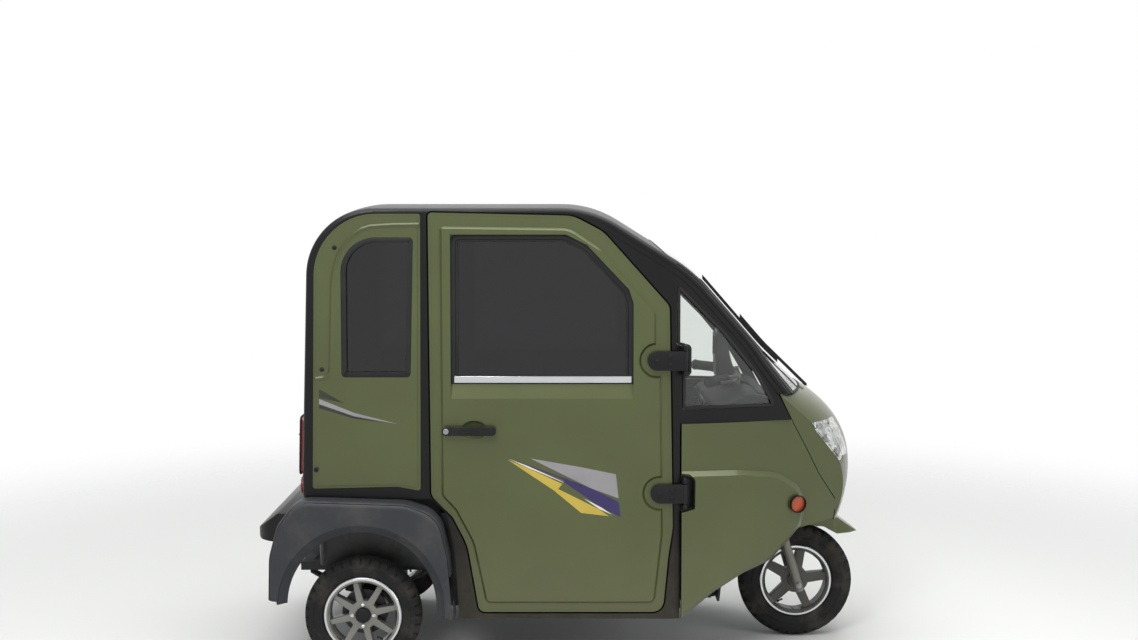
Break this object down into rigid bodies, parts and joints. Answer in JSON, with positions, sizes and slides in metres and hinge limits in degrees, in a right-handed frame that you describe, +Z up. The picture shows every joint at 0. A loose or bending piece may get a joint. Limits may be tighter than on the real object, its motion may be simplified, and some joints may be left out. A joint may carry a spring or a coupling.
{
  "type": "enclosed electric three wheeled car",
  "caption": "Small enclosed electric tricycle car with one steered front wheel, hinged side doors, sloping windshield and rear wings.",
  "frame": {"origin": "centre of the bounding box at ground level", "axes": "+X forward, +Y to the vehicle's left, +Z up"},
  "size_m": [2.184, 1.06, 1.64],
  "materials": {
    "body_paint": "olive green metallic gloss",
    "black_paint": "black gloss",
    "tinted_glass": "dark tinted glass",
    "clear_glass": "clear glass",
    "lamp_lens": "clear polycarbonate lens",
    "amber_lens": "amber prismatic reflector",
    "red_lens": "red lamp lens",
    "dark_plastic": "textured dark grey moulding",
    "frame_steel": "satin black",
    "seat_cover": "black vinyl",
    "tyre_rubber": "matte",
    "cast_rim": "silver painted casting"
  },
  "bodies": {
    "body": {"side_frame_right": "black_paint", "side_frame_left": "black_paint", "rear_quarter_panels": "body_paint", "rear_quarter_glass": "tinted_glass", "front_quarter_glass": "clear_glass", "roof": "black_paint", "rear_wall": "body_paint", "rear_glass": "tinted_glass", "windshield": "clear_glass", "nose_panel": "body_paint", "headlamps": "lamp_lens", "front_side_right": "body_paint", "front_side_left": "body_paint", "rear_wings": "dark_plastic", "rear_bumper": "dark_plastic", "floor_pan": "frame_steel", "rear_deck": "frame_steel", "battery_tub": "frame_steel", "frame_rails": "frame_steel", "cross_members": "frame_steel", "bulkhead": "frame_steel", "head_tube": "frame_steel", "dashboard": "dark_plastic", "driver_seat": "seat_cover", "rear_bench": "seat_cover", "rear_axle": "frame_steel", "leaf_springs": "frame_steel", "hinge_brackets": "black_paint", "side_reflectors": "amber_lens", "tail_lamps": "red_lens", "wiper": "dark_plastic"},
    "steering": {"fork": "frame_steel", "handlebar": "frame_steel", "front_mudguard": "body_paint"},
    "front_wheel": {"front_tyre": "tyre_rubber", "front_rim": "cast_rim"},
    "rear_wheel_right": {"rear_tyre_right": "tyre_rubber", "rear_rim_right": "cast_rim"},
    "rear_wheel_left": {"rear_tyre_left": "tyre_rubber", "rear_rim_left": "cast_rim"},
    "door_right": {"door_right": "body_paint", "door_glass_right": "tinted_glass", "door_handle_right": "black_paint", "hinge_strap_right": "black_paint"},
    "door_left": {"door_left": "body_paint", "door_glass_left": "tinted_glass", "door_handle_left": "black_paint", "hinge_strap_left": "black_paint"}
  },
  "joints": [
    {"name": "steer", "type": "hinge", "parent": "body", "child": "steering", "pos_m": [0.861, 0, 0.215], "axis": [-0.2924, 0, 0.9563], "range_deg": [-35, 35]},
    {"name": "front_wheel_spin", "type": "hinge", "parent": "steering", "child": "front_wheel", "pos_m": [0.861, 0, 0.215], "axis": [0, 1, 0], "continuous": true},
    {"name": "rear_wheel_right_spin", "type": "hinge", "parent": "body", "child": "rear_wheel_right", "pos_m": [-0.721, -0.42, 0.205], "axis": [0, 1, 0], "continuous": true},
    {"name": "rear_wheel_left_spin", "type": "hinge", "parent": "body", "child": "rear_wheel_left", "pos_m": [-0.721, 0.42, 0.205], "axis": [0, 1, 0], "continuous": true},
    {"name": "door_right_hinge", "type": "hinge", "parent": "body", "child": "door_right", "pos_m": [0.4, -0.4691, 0.873], "axis": [0, 0, 1], "range_deg": [0, 75]},
    {"name": "door_left_hinge", "type": "hinge", "parent": "body", "child": "door_left", "pos_m": [0.4, 0.4691, 0.873], "axis": [0, 0, -1], "range_deg": [0, 75]}
  ]
}
